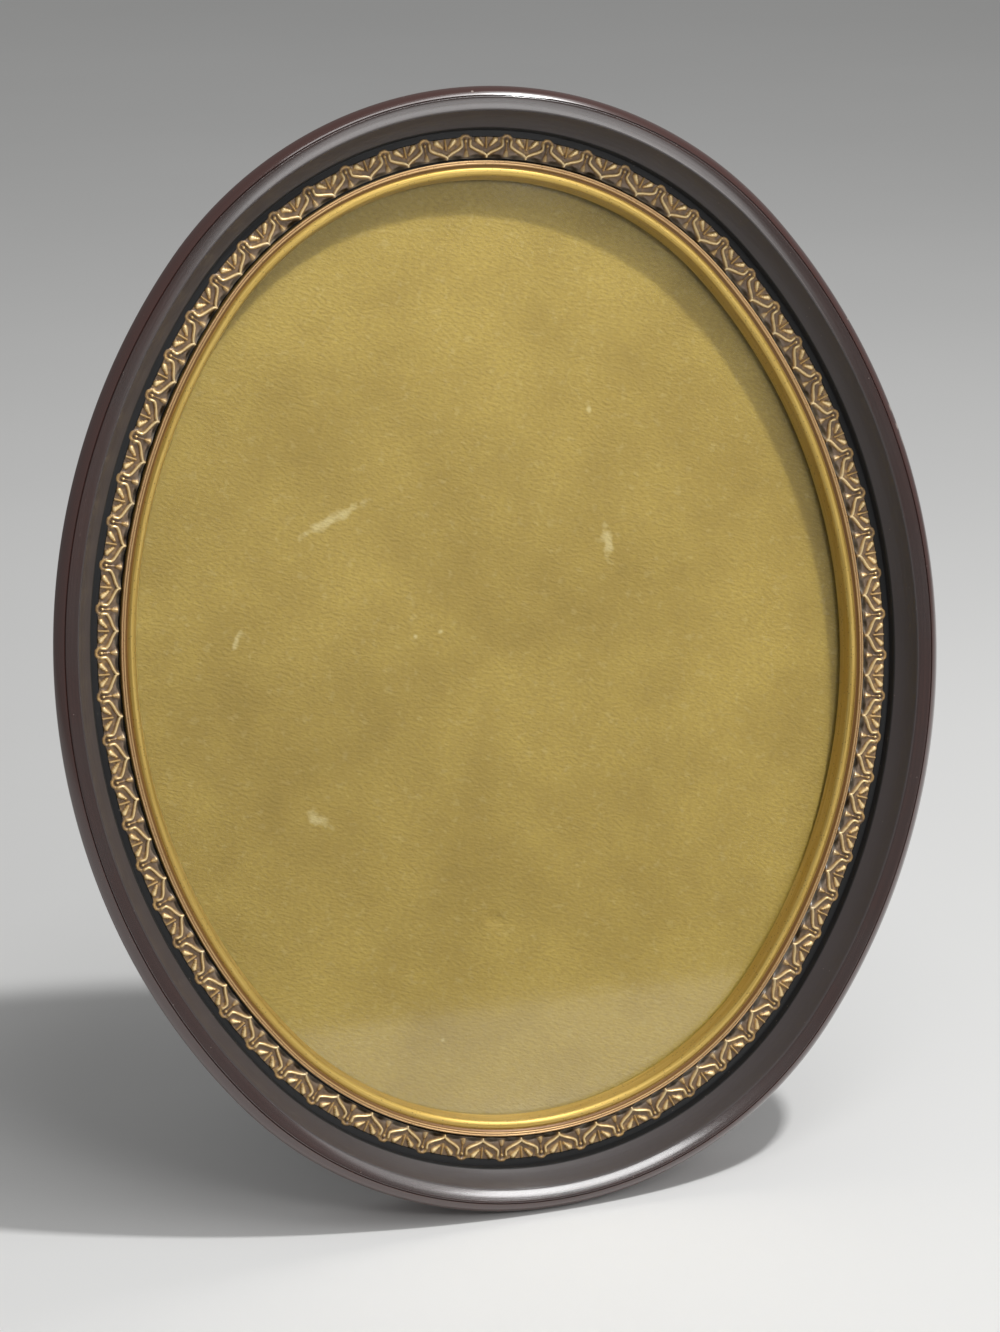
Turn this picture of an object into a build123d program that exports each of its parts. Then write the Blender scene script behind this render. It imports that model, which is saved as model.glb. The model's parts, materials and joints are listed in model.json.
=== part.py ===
from build123d import *
import os
from math import atan2, cos, degrees, hypot, radians, sin

# Oval easel frame in millimetres. It is laid out flat: X across, Y up the frame, Z out of the
# front, and the glass front is Z = 0. At the end all pieces are stood up on the table together.

# Whole frame
frame_width = 241.3
frame_height = 295.0
lean_angle = 13.0

# Widths across the face, in order from the outer edge to the sight edge
rim_width = 2.4
quirk_width = 0.4
land_width = 3.5
cove_width = 4.2
channel_width = 2.15
ornament_width = 5.4
groove_width = 0.6
liner_width = 4.9

# Moulding heights, measured forward from the glass
land_height = 14.0
land_fall = 0.2
quirk_depth = 0.9
cove_scoop = 0.4
arris_height = 6.6
channel_height = 4.6
channel_batter = 0.4
ledge_height = 2.2

# Moulding rim, side and rebate
rim_height = 13.9
rim_foot_height = 11.4
rim_bulge = 0.32
side_taper = 3.6
rebate_width = 4.65
rebate_depth = 7.6
ledge_overhang = 1.6
bond_gap = 0.15

# Ornament band: leaves with full sides that sweep in to a tip, and darts between the tips
leaf_count = 68
band_height = 4.4
leaf_relief = 0.6
leaf_line = 0.55
leaf_foot_shares = (0.37, 0.03)
leaf_side_shares = (0.385, 0.48)
leaf_shoulder_shares = (0.29, 0.66)
leaf_waist_shares = (0.09, 0.82)
leaf_tip_shares = (0.0, 0.97)
dart_half_share = 0.07
dart_base_share = 0.62
dart_tip_share = 0.97

# Gilt liner
liner_bead_radius = 0.55
liner_bead_height = 5.0
valley_width = 1.75
valley_height = 4.7
valley_dip = 0.25
sight_bulge = 0.55

# Glass and boards in the rebate
glazing_gap = 0.7
glass_thickness = 2.0
card_thickness = 0.8
filler_thickness = 1.5
panel_thickness = 3.0

# Strut
strut_open_angle = 26.0
strut_hinge_height = 40.0
strut_thickness = 3.0
strut_top_width = 30.0
strut_foot_width = 66.0
strut_foot_round = 6.0
strut_top_round = 4.0
strut_fold_gap = 0.4
strut_top_gap = 0.6

# Strut hinge
hinge_width = 30.0
centre_knuckle_length = 12.0
knuckle_radius = 2.1
knuckle_end_gap = 0.3
knuckle_panel_gap = 0.3
leaf_thickness = 0.8
panel_leaf_height = 22.0
strut_leaf_height = 24.0
strut_leaf_width = 24.0
leaf_corner_round = 3.0
leaf_notch_gap = 0.5
stop_gap = 0.05
pin_radius = 1.1
pin_fit_gap = 0.02
pin_running_gap = 0.06
pin_overhang = 0.5
pin_end_break = 0.3

# Rivets
rivet_head_radius = 2.0
rivet_head_height = 0.9
rivet_shank_radius = 1.2
rivet_hole_gap = 0.05
panel_rivet_spacing = 19.0
panel_rivet_rise = 12.5
strut_rivet_spacing = 14.0
strut_rivet_fall = 14.0

# Turn buttons and screws
button_bearing = 30.0
button_pivot_inset = 12.5
button_reach = 13.0
button_width = 8.0
button_thickness = 1.0
button_play = 0.1
screw_head_radius = 3.0
screw_head_height = 1.6
screw_shank_radius = 1.5
screw_depth = 8.0
screw_hole_gap = 0.05
screw_slot_width = 0.7
screw_slot_depth = 0.6

# Hanger
hanger_screw_inset = 8.0
hanger_plate_width = 7.0
hanger_plate_round = 2.5
hanger_plate_margin = 3.6
hanger_loop_drop = 7.0
hanger_thickness = 0.7
ring_rod_radius = 0.9
ring_running_gap = 0.07
ring_bar_width = 13.0
ring_tip_width = 8.0
ring_drop = 12.0
ring_corner_round = 2.0

# Cuts run past the surface by this much
overrun = 1.0

# Four-centred oval: two end arcs and two side arcs that meet tangentially
half_width = frame_width / 2
half_height = frame_height / 2
oval_diagonal = hypot(half_width, half_height)
oval_excess = half_height - half_width
end_radius = oval_diagonal * (oval_diagonal - oval_excess) / frame_height
side_radius = oval_diagonal * (oval_diagonal + oval_excess) / frame_width
end_centre = half_height - end_radius
side_centre = side_radius - half_width
side_angle = degrees(atan2(end_centre, side_centre))
end_angle = 90 - side_angle

# Each arc: centre, radius at the outer edge, start angle and span
oval_arcs = [
    ((-side_centre, 0), side_radius, -side_angle, 2 * side_angle),
    ((0, end_centre), end_radius, side_angle, 2 * end_angle),
    ((side_centre, 0), side_radius, 180 - side_angle, 2 * side_angle),
    ((0, -end_centre), end_radius, 180 + side_angle, 2 * end_angle),
]

# Insets from the outer edge
land_inset = rim_width + quirk_width
ridge_inset = land_inset + land_width
arris_inset = ridge_inset + cove_width
ornament_inset = arris_inset + channel_width
groove_inset = ornament_inset + ornament_width
liner_inset = groove_inset + groove_width
sight_inset = liner_inset + liner_width
rebate_inset = sight_inset - rebate_width
ledge_inset = rebate_inset + ledge_overhang
glazing_inset = rebate_inset + glazing_gap

# Depths behind the glass front
card_depth = glass_thickness
filler_depth = card_depth + card_thickness
panel_depth = filler_depth + filler_thickness
panel_back = panel_depth + panel_thickness
back_plane = Plane.XY.offset(-rebate_depth)

# The table, seen from the flat layout, touches the lower back edge of the moulding
lean = radians(lean_angle)
table_up = (0, cos(lean), sin(lean))
rest_height = half_height - side_taper
table = Plane(origin=(0, -rest_height, -rebate_depth), z_dir=table_up)

# Strut hinge axis and the plane of the open strut through it
hinge_depth = panel_back + knuckle_panel_gap + knuckle_radius
strut_open = radians(strut_open_angle)
hinge_point = (0, strut_hinge_height, -hinge_depth)
strut_plane = Plane(origin=hinge_point, x_dir=(1, 0, 0), z_dir=(0, -sin(strut_open), cos(strut_open)))
strut_front = hinge_depth - rebate_depth - strut_fold_gap
strut_rear = strut_thickness - strut_front

pieces = {}


def oval(inset, plane):
    """An oval face, the given inset from the outer edge, on a plane parallel to the glass."""
    with BuildSketch(plane) as face:
        with BuildLine():
            for centre, radius, start, span in oval_arcs:
                CenterArc(centre, radius - inset, start, span)
        make_face()
    return face.sketch


def turn_round_oval(outline):
    """Turn a section round the four arcs. outline(radius) draws it for one arc."""
    for centre, radius, start, span in oval_arcs:
        out = (cos(radians(start)), sin(radians(start)), 0)
        plane = Plane(origin=(*centre, 0), x_dir=out, z_dir=(out[1], -out[0], 0))
        with BuildSketch(plane) as section:
            make_face(outline(radius).edges())
        revolve(section.sketch, axis=Axis((*centre, 0), (0, 0, 1)), revolution_arc=span)


def oval_place(inset, run_share):
    """Point and outward angle at a share of the way round a parallel oval, from the right side."""
    lengths = [(radius - inset) * radians(span) for _, radius, _, span in oval_arcs]
    run = (run_share % 1) * sum(lengths) + lengths[0] / 2
    run = run % sum(lengths)
    for (centre, radius, start, span), length in zip(oval_arcs, lengths):
        if run <= length:
            break
        run -= length
    angle = start + span * run / length
    reach = radius - inset
    point = (centre[0] + reach * cos(radians(angle)), centre[1] + reach * sin(radians(angle)))
    return point, angle


# Moulding
button_radius = side_radius - button_pivot_inset
button_across = button_radius * cos(radians(button_bearing)) - side_centre
button_up = button_radius * sin(radians(button_bearing))
button_corners = {
    "upper_right": (1, 1),
    "upper_left": (-1, 1),
    "lower_left": (-1, -1),
    "lower_right": (1, -1),
}
button_points = [(across * button_across, up * button_up) for across, up in button_corners.values()]
hanger_point = (0, half_height - hanger_screw_inset)


def moulding_section(radius):
    rim_rise = rim_height - rim_foot_height
    rim_length = hypot(rim_width, rim_rise)
    rim_mid_inset = rim_width / 2 - rim_bulge * rim_rise / rim_length
    rim_mid_height = rim_foot_height + rim_rise / 2 + rim_bulge * rim_width / rim_length
    ridge_height = land_height - land_fall
    cove_fall = ridge_height - arris_height
    cove_length = hypot(cove_width, cove_fall)
    cove_mid_inset = ridge_inset + cove_width / 2 - cove_scoop * cove_fall / cove_length
    cove_mid_height = arris_height + cove_fall / 2 - cove_scoop * cove_width / cove_length
    with BuildLine() as outline:
        Line((radius - side_taper, -rebate_depth), (radius, rim_foot_height))
        ThreePointArc(
            (radius, rim_foot_height),
            (radius - rim_mid_inset, rim_mid_height),
            (radius - rim_width, rim_height),
        )
        Polyline(
            (radius - rim_width, rim_height),
            (radius - rim_width - quirk_width / 2, land_height - quirk_depth),
            (radius - land_inset, land_height),
            (radius - ridge_inset, ridge_height),
        )
        ThreePointArc(
            (radius - ridge_inset, ridge_height),
            (radius - cove_mid_inset, cove_mid_height),
            (radius - arris_inset, arris_height),
        )
        Polyline(
            (radius - arris_inset, arris_height),
            (radius - arris_inset - channel_batter, channel_height),
            (radius - ornament_inset + bond_gap, channel_height),
            (radius - ornament_inset + bond_gap, ledge_height),
            (radius - ledge_inset, ledge_height),
            (radius - ledge_inset, 0),
            (radius - rebate_inset, 0),
            (radius - rebate_inset, -rebate_depth),
            (radius - side_taper, -rebate_depth),
        )
    return outline.line


with BuildPart() as moulding:
    turn_round_oval(moulding_section)
    with BuildSketch(back_plane):
        with Locations(*button_points, hanger_point):
            Circle(screw_shank_radius + screw_hole_gap)
    extrude(amount=screw_depth + screw_hole_gap, mode=Mode.SUBTRACT)
pieces["moulding"] = moulding


# Ornament band
def band_section(radius):
    with BuildLine() as outline:
        Polyline(
            (radius - ornament_inset, ledge_height),
            (radius - ornament_inset, band_height),
            (radius - groove_inset, band_height),
            (radius - groove_inset, ledge_height),
            close=True,
        )
    return outline.line


def leaf_plane(index):
    """Plane of one leaf on the band: X along the band and Y towards the sight edge."""
    (across, up), angle = oval_place(ornament_inset, (index + 0.5) / leaf_count)
    along = (-sin(radians(angle)), cos(radians(angle)), 0)
    return Plane(origin=(across, up, band_height), x_dir=along, z_dir=(0, 0, 1))


band_run = sum((radius - ornament_inset) * radians(span) for _, radius, _, span in oval_arcs)
leaf_pitch = band_run / leaf_count


def on_leaf(shares, side=1):
    """A point of the leaf outline from its shares of the pitch and of the band width."""
    return (side * shares[0] * leaf_pitch, shares[1] * ornament_width)


with BuildPart() as ornament_band:
    turn_round_oval(band_section)
    with BuildSketch(*[leaf_plane(index) for index in range(leaf_count)]):
        with BuildLine():
            Polyline(
                on_leaf(leaf_foot_shares),
                on_leaf(leaf_side_shares),
                on_leaf(leaf_shoulder_shares),
                on_leaf(leaf_waist_shares),
                on_leaf(leaf_tip_shares),
                on_leaf(leaf_waist_shares, -1),
                on_leaf(leaf_shoulder_shares, -1),
                on_leaf(leaf_side_shares, -1),
                on_leaf(leaf_foot_shares, -1),
                close=True,
            )
        leaf = make_face()
        offset(leaf, amount=-leaf_line, kind=Kind.INTERSECTION, mode=Mode.SUBTRACT)
        with BuildLine():
            Polyline(
                on_leaf((0.5 - dart_half_share, dart_base_share)),
                on_leaf((0.5 + dart_half_share, dart_base_share)),
                on_leaf((0.5, dart_tip_share)),
                close=True,
            )
        make_face()
    extrude(amount=leaf_relief)
pieces["ornament_band"] = ornament_band


# Gilt liner
def liner_section(radius):
    bead_foot = liner_bead_height - liner_bead_radius
    valley_inset = liner_inset + 2 * liner_bead_radius
    torus_inset = valley_inset + valley_width
    torus_width = sight_inset - torus_inset
    torus_length = hypot(torus_width, valley_height)
    bulge_inset = (torus_inset + sight_inset) / 2 + sight_bulge * valley_height / torus_length
    bulge_height = valley_height / 2 + sight_bulge * torus_width / torus_length
    with BuildLine() as outline:
        Line((radius - liner_inset, ledge_height), (radius - liner_inset, bead_foot))
        ThreePointArc(
            (radius - liner_inset, bead_foot),
            (radius - liner_inset - liner_bead_radius, liner_bead_height),
            (radius - valley_inset, bead_foot),
        )
        ThreePointArc(
            (radius - valley_inset, bead_foot),
            (radius - (valley_inset + torus_inset) / 2, (bead_foot + valley_height) / 2 - valley_dip),
            (radius - torus_inset, valley_height),
        )
        ThreePointArc(
            (radius - torus_inset, valley_height),
            (radius - bulge_inset, bulge_height),
            (radius - sight_inset, 0),
        )
        Polyline(
            (radius - sight_inset, 0),
            (radius - ledge_inset - bond_gap, 0),
            (radius - ledge_inset - bond_gap, ledge_height),
            (radius - liner_inset, ledge_height),
        )
    return outline.line


with BuildPart() as gilt_liner:
    turn_round_oval(liner_section)
pieces["gilt_liner"] = gilt_liner

# Glass, card and filler board, stacked behind the sight edge
with BuildPart() as glass_pane:
    extrude(oval(glazing_inset, Plane.XY), amount=-glass_thickness)
pieces["glass_pane"] = glass_pane

with BuildPart() as gold_card:
    extrude(oval(glazing_inset, Plane.XY.offset(-card_depth)), amount=-card_thickness)
pieces["gold_card"] = gold_card

with BuildPart() as filler_board:
    extrude(oval(glazing_inset, Plane.XY.offset(-filler_depth)), amount=-filler_thickness)
pieces["filler_board"] = filler_board

# Back panel
panel_rivet_height = strut_hinge_height + panel_rivet_rise
panel_rivet_points = [(side * panel_rivet_spacing / 2, panel_rivet_height) for side in (-1, 1)]

with BuildPart() as back_panel:
    extrude(oval(glazing_inset, Plane.XY.offset(-panel_depth)), amount=-panel_thickness)
    with BuildSketch(Plane.XY.offset(-panel_back - overrun)):
        with Locations(*panel_rivet_points):
            Circle(rivet_shank_radius + rivet_hole_gap)
    extrude(amount=panel_thickness + 2 * overrun, mode=Mode.SUBTRACT)
pieces["back_panel"] = back_panel

# Strut, drawn on its own open plane with the hinge axis at its origin
strut_slant = strut_open - lean
hinge_rise = (strut_hinge_height + rest_height) * cos(lean) + (rebate_depth - hinge_depth) * sin(lean)
strut_length = (hinge_rise + strut_rear * sin(strut_slant)) / cos(strut_slant)
strut_top = knuckle_radius + strut_top_gap
strut_rivet_points = [(side * strut_rivet_spacing / 2, -strut_rivet_fall) for side in (-1, 1)]

with BuildPart() as strut:
    with BuildSketch(strut_plane.offset(-strut_rear)) as strut_outline:
        with BuildLine():
            Polyline(
                (-strut_top_width / 2, -strut_top),
                (strut_top_width / 2, -strut_top),
                (strut_foot_width / 2, -strut_length),
                (-strut_foot_width / 2, -strut_length),
                close=True,
            )
        make_face()
        fillet(strut_outline.vertices().group_by(Axis.Y)[0], strut_foot_round)
        fillet(strut_outline.vertices().group_by(Axis.Y)[-1], strut_top_round)
        with Locations(*strut_rivet_points):
            Circle(rivet_shank_radius + rivet_hole_gap, mode=Mode.SUBTRACT)
    extrude(amount=strut_thickness)
    split(bisect_by=table, keep=Keep.TOP)
pieces["strut"] = strut

# Hinge leaf on the back panel, with a knuckle at each end
end_knuckle_length = (hinge_width - centre_knuckle_length) / 2 - knuckle_end_gap
end_knuckle_middle = (hinge_width - end_knuckle_length) / 2
leaf_notch = knuckle_radius + leaf_notch_gap

with BuildPart() as hinge_panel_leaf:
    with BuildSketch(Plane.XY.offset(-panel_back)) as panel_leaf_outline:
        with Locations((0, strut_hinge_height)):
            with Locations((0, (leaf_notch + panel_leaf_height) / 2)):
                Rectangle(hinge_width, panel_leaf_height - leaf_notch)
            with Locations((-end_knuckle_middle, leaf_notch / 2), (end_knuckle_middle, leaf_notch / 2)):
                Rectangle(end_knuckle_length, leaf_notch)
        fillet(panel_leaf_outline.vertices().group_by(Axis.Y)[-1], leaf_corner_round)
        with Locations(*panel_rivet_points):
            Circle(rivet_shank_radius + rivet_hole_gap, mode=Mode.SUBTRACT)
    extrude(amount=-leaf_thickness)
    for side in (-1, 1):
        with BuildSketch(Plane.YZ.offset(side * end_knuckle_middle - end_knuckle_length / 2)):
            with Locations((strut_hinge_height, -hinge_depth)):
                Circle(knuckle_radius)
        extrude(amount=end_knuckle_length)
    with BuildSketch(Plane.YZ.offset(-hinge_width / 2 - overrun)):
        with Locations((strut_hinge_height, -hinge_depth)):
            Circle(pin_radius + pin_fit_gap)
    extrude(amount=hinge_width + 2 * overrun, mode=Mode.SUBTRACT)
pieces["hinge_panel_leaf"] = hinge_panel_leaf

# Hinge leaf on the strut: middle knuckle, and a lip above it that stops the strut when open
panel_leaf_back = hinge_depth - panel_back - leaf_thickness
stop_lip = (panel_leaf_back - stop_gap + strut_rear * cos(strut_open)) / sin(strut_open)

with BuildPart() as hinge_strut_leaf:
    with BuildSketch(strut_plane.offset(-strut_rear)) as strut_leaf_outline:
        with Locations((0, -(strut_top + strut_leaf_height) / 2)):
            Rectangle(strut_leaf_width, strut_leaf_height - strut_top)
        fillet(strut_leaf_outline.vertices().group_by(Axis.Y)[0], leaf_corner_round)
        with Locations((0, (stop_lip - strut_top) / 2)):
            Rectangle(centre_knuckle_length, stop_lip + strut_top)
        with Locations(*strut_rivet_points):
            Circle(rivet_shank_radius + rivet_hole_gap, mode=Mode.SUBTRACT)
    extrude(amount=-leaf_thickness)
    with BuildSketch(Plane.YZ.offset(-centre_knuckle_length / 2)):
        with Locations((strut_hinge_height, -hinge_depth)):
            Circle(knuckle_radius)
    extrude(amount=centre_knuckle_length)
    with BuildSketch(Plane.YZ.offset(-centre_knuckle_length / 2 - overrun)):
        with Locations((strut_hinge_height, -hinge_depth)):
            Circle(pin_radius + pin_running_gap)
    extrude(amount=centre_knuckle_length + 2 * overrun, mode=Mode.SUBTRACT)
pieces["hinge_strut_leaf"] = hinge_strut_leaf

with BuildPart() as hinge_pin:
    with BuildSketch(Plane.YZ.offset(-hinge_width / 2 - pin_overhang)):
        with Locations((strut_hinge_height, -hinge_depth)):
            Circle(pin_radius)
    extrude(amount=hinge_width + 2 * pin_overhang)
    chamfer(hinge_pin.edges().filter_by(GeomType.CIRCLE), pin_end_break)
pieces["hinge_pin"] = hinge_pin


# Rivets: heads on the leaves, shanks flush with the far side of each board
def set_rivets(plane, points, grip):
    """Rivets whose heads sit on a plane and whose shanks go back through the grip."""
    with BuildSketch(plane) as heads:
        with Locations(*points):
            Circle(rivet_head_radius)
    extrude(heads.sketch, amount=rivet_head_height)
    with BuildSketch(plane) as shanks:
        with Locations(*points):
            Circle(rivet_shank_radius)
    extrude(shanks.sketch, amount=-grip)


panel_leaf_face = Plane(origin=(0, 0, -panel_back - leaf_thickness), x_dir=(-1, 0, 0), z_dir=(0, 0, -1))
strut_leaf_face = Plane(
    origin=strut_plane.offset(-strut_rear - leaf_thickness).origin,
    x_dir=(-1, 0, 0),
    z_dir=-strut_plane.z_dir,
)

with BuildPart() as panel_leaf_rivets:
    set_rivets(panel_leaf_face, panel_rivet_points, leaf_thickness + panel_thickness - rivet_hole_gap)
pieces["panel_leaf_rivets"] = panel_leaf_rivets

with BuildPart() as strut_leaf_rivets:
    set_rivets(strut_leaf_face, strut_rivet_points, leaf_thickness + strut_thickness - rivet_hole_gap)
pieces["strut_leaf_rivets"] = strut_leaf_rivets


# Slotted screws, driven into the back of the moulding
def drive_screws(points, under_head):
    """Screws at points of the moulding back, with the head held off it by what lies under it."""
    seat = Plane(origin=(0, 0, -rebate_depth - under_head), x_dir=(1, 0, 0), z_dir=(0, 0, -1))
    mirrored = [(across, -up) for across, up in points]
    with BuildSketch(seat) as heads:
        with Locations(*mirrored):
            Circle(screw_head_radius)
    extrude(heads.sketch, amount=screw_head_height)
    with BuildSketch(seat.offset(screw_head_height - screw_slot_depth)) as slots:
        with Locations(*mirrored):
            Rectangle(2 * screw_head_radius, screw_slot_width)
    extrude(slots.sketch, amount=screw_slot_depth + overrun, mode=Mode.SUBTRACT)
    with BuildSketch(seat) as shanks:
        with Locations(*mirrored):
            Circle(screw_shank_radius)
    extrude(shanks.sketch, amount=-under_head - screw_depth)


with BuildPart() as back_screws:
    drive_screws(button_points, button_thickness + 2 * button_play)
    drive_screws([hanger_point], hanger_thickness)
pieces["back_screws"] = back_screws

# Turn buttons, pointing in over the back panel
for (corner, (side, rise)), (across, up) in zip(button_corners.items(), button_points):
    inward = (-side * cos(radians(button_bearing)), -rise * sin(radians(button_bearing)), 0)
    button_seat = Plane(origin=(across, up, -rebate_depth - button_play), x_dir=inward, z_dir=(0, 0, -1))
    with BuildPart() as turn_button:
        with BuildSketch(button_seat):
            with Locations((button_reach / 2, 0)):
                SlotCenterToCenter(button_reach, button_width)
            Circle(screw_shank_radius + pin_running_gap, mode=Mode.SUBTRACT)
        extrude(amount=button_thickness)
    pieces["turn_button_" + corner] = turn_button

# Hanger strap with a rolled loop, and the ring that hangs plumb from it
loop_bore = ring_rod_radius + ring_running_gap
loop_radius = loop_bore + hanger_thickness
loop_height = hanger_point[1] - hanger_loop_drop
loop_depth = rebate_depth + loop_radius
plate_top = hanger_point[1] + hanger_plate_margin

with BuildPart() as hanger_strap:
    with BuildSketch(back_plane) as strap_outline:
        with Locations((0, (plate_top + loop_height) / 2)):
            Rectangle(hanger_plate_width, plate_top - loop_height)
        fillet(strap_outline.vertices().group_by(Axis.Y)[-1], hanger_plate_round)
        with Locations(hanger_point):
            Circle(screw_shank_radius + screw_hole_gap, mode=Mode.SUBTRACT)
    extrude(amount=-hanger_thickness)
    with BuildSketch(Plane.YZ.offset(-hanger_plate_width / 2)):
        with Locations((loop_height, -loop_depth)):
            Circle(loop_radius)
    extrude(amount=hanger_plate_width)
    with BuildSketch(Plane.YZ.offset(-hanger_plate_width / 2 - overrun)):
        with Locations((loop_height, -loop_depth)):
            Circle(loop_bore)
    extrude(amount=hanger_plate_width + 2 * overrun, mode=Mode.SUBTRACT)
pieces["hanger_strap"] = hanger_strap

ring_plane = Plane(origin=(0, loop_height, -loop_depth), x_dir=(1, 0, 0), z_dir=(0, -sin(lean), cos(lean)))

with BuildPart() as hanger_ring:
    with BuildLine(ring_plane) as ring_path:
        FilletPolyline(
            (-ring_bar_width / 2, 0),
            (ring_bar_width / 2, 0),
            (ring_tip_width / 2, -ring_drop),
            (-ring_tip_width / 2, -ring_drop),
            radius=ring_corner_round,
            close=True,
        )
    with BuildSketch(Plane(origin=ring_path.line @ 0, z_dir=ring_path.line % 0)):
        Circle(ring_rod_radius)
    sweep()
pieces["hanger_ring"] = hanger_ring

# Stand the frame up: its lowest edge and the strut foot on Z = 0, the middle of its box on the Z axis
upright = Location((0, 0, 0), (90 - lean_angle, 0, 0))
footprint = Compound(children=[piece.part.moved(upright) for piece in pieces.values()]).bounding_box()
standing = Location((-footprint.center().X, -footprint.center().Y, -footprint.min.Z)) * upright

os.makedirs("parts", exist_ok=True)
for node, piece in pieces.items():
    piece.part = piece.part.moved(standing)
    piece.part.label = node
    export_step(piece.part, f"parts/{node}.step")
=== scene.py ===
import json
from math import asin, atan2, copysign, cos, hypot, pi, radians, sin, sqrt

import bmesh
import bpy
import numpy as np
from mathutils import Matrix, Vector


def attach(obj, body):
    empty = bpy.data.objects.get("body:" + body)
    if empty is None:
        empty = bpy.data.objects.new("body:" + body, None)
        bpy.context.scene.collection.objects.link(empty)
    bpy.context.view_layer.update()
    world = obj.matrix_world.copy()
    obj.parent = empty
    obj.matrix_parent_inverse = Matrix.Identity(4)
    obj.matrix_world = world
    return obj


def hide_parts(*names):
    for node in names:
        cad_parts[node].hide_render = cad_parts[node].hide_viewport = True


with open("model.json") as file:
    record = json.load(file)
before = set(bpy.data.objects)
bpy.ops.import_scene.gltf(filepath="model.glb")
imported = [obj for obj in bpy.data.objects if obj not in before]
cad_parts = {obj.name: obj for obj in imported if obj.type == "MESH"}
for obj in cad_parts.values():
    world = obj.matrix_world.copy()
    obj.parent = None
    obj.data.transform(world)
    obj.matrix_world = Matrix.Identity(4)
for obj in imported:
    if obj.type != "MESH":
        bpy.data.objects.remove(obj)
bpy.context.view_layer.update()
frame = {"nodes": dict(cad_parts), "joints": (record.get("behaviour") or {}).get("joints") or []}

mm = 0.001

# Moulding section: insets from the outer edge and heights in front of the glass
rim_width = 2.4 * mm
rim_foot_height = 11.4 * mm
rim_height = 13.9 * mm
rim_bulge = 0.32 * mm
quirk_inset = 2.6 * mm
quirk_height = 13.65 * mm
land_inset = 2.8 * mm
land_height = 14.0 * mm
land_crown = 0.07 * mm
ridge_inset = 6.3 * mm
ridge_height = 12.9 * mm
cove_scoop = 0.4 * mm
arris_inset = 10.5 * mm
arris_height = 6.6 * mm
channel_inset = 10.9 * mm
channel_height = 4.6 * mm
ledge_height = 2.2 * mm
ledge_inset = 20.5 * mm
rebate_inset = 18.9 * mm
rebate_depth = 7.6 * mm
side_taper = 3.6 * mm
bond_gap = 0.15 * mm
ridge_edge = 0.2 * mm
crisp_edge = 0.25 * mm
rim_tone = -0.5
land_tone = 0
cove_tone = 0.5
channel_tone = 1

# Ornament band
leaf_count = 68
ornament_inset = 12.65 * mm
ornament_width = 5.4 * mm
band_outer_height = 4.5 * mm
band_inner_height = 4.1 * mm
leaf_relief = 0.85 * mm
leaf_foot = 4.3 * mm
leaf_side = 4.5 * mm
leaf_side_share = 0.36
leaf_tip_share = 0.95
leaf_sweep = 2.6
leaf_line = 0.42 * mm
leaf_body_share = 0.08
leaf_gilding_share = 0.06
leaf_tip_line_share = 0.3
leaf_inner_share = 0.4
arch_top = -0.45 * mm
arch_bulge = 0.95 * mm
arch_bulge_reach = 2.2 * mm
arch_relief_share = 0.42
fan_relief_share = 0.9
fan_rib_start = (0, 0.2 * mm)
fan_rib_end = (0, 2.7 * mm)
fan_rib_radius = 0.3 * mm
petal_start = (2.45 * mm, 0.7 * mm)
petal_end = (1.0 * mm, 2.2 * mm)
petal_radius = 0.74 * mm
petal_tip_radius = 0.32 * mm
bud_radius = 0.4 * mm
stem_relief_share = 0.35
stem_radius = 0.25 * mm
dart_start_share = 0.7
dart_end_share = 0.92
dart_radius = 0.48 * mm
dart_tip_radius = 0.2 * mm
scallop_width = 2.1 * mm
scallop_depth = 1.0 * mm
scallop_drop_share = 1.2

# Gilt liner
liner_inset = 18.65 * mm
liner_bead_radius = 0.28 * mm
liner_bead_height = 5.0 * mm
valley_inset = 20.45 * mm
valley_height = 4.15 * mm
valley_dip = 0.08 * mm
torus_inset = 22.7 * mm
torus_height = 3.6 * mm
torus_bulge = 0.75 * mm
sight_inset = 23.55 * mm
sight_hollow = 0.08 * mm

# Boards in the rebate
glazing_inset = 19.6 * mm
glass_thickness = 2.0 * mm
card_thickness = 0.8 * mm
card_edge = 0.1 * mm
card_wave = 0.18 * mm
card_wave_across = 17 * mm
card_wave_up = 26 * mm
card_sway_across = 33 * mm
card_sway_up = 41 * mm
card_sway_shares = (1.3, 0.9)
card_wave_phase = 1
filler_thickness = 1.5 * mm
panel_thickness = 3.0 * mm
panel_edge = 0.7 * mm

# Wear on the card: each rubbed mark's middle, its half length and half width, and its turn
card_scuffs = (
    ((33.0 * mm, 26.0 * mm), (2.0 * mm, 8.0 * mm), radians(2)),
    ((-52.0 * mm, -39.0 * mm), (5.5 * mm, 2.2 * mm), radians(-38)),
    ((-42.0 * mm, 39.0 * mm), (12.0 * mm, 2.0 * mm), radians(24)),
    ((-70.0 * mm, 10.0 * mm), (1.2 * mm, 4.0 * mm), radians(-25)),
    ((-15.0 * mm, 7.0 * mm), (1.3 * mm, 0.9 * mm), 0),
    ((-22.0 * mm, 6.5 * mm), (0.9 * mm, 0.9 * mm), 0),
    ((30.5 * mm, 62.0 * mm), (1.1 * mm, 1.2 * mm), 0),
)
dent_place = (-6 * mm, -71 * mm)
dent_size = (3.6 * mm, 2.8 * mm)
dent_depth = 0.7 * mm

# Chips in the lacquer of the rim: how high up the right side, and how long and wide
chip_sizes = (
    (56.0 * mm, 1.4 * mm, 0.5 * mm),
    (51.0 * mm, 1.2 * mm, 0.8 * mm),
    (47.5 * mm, 2.4 * mm, 0.3 * mm),
)

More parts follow.
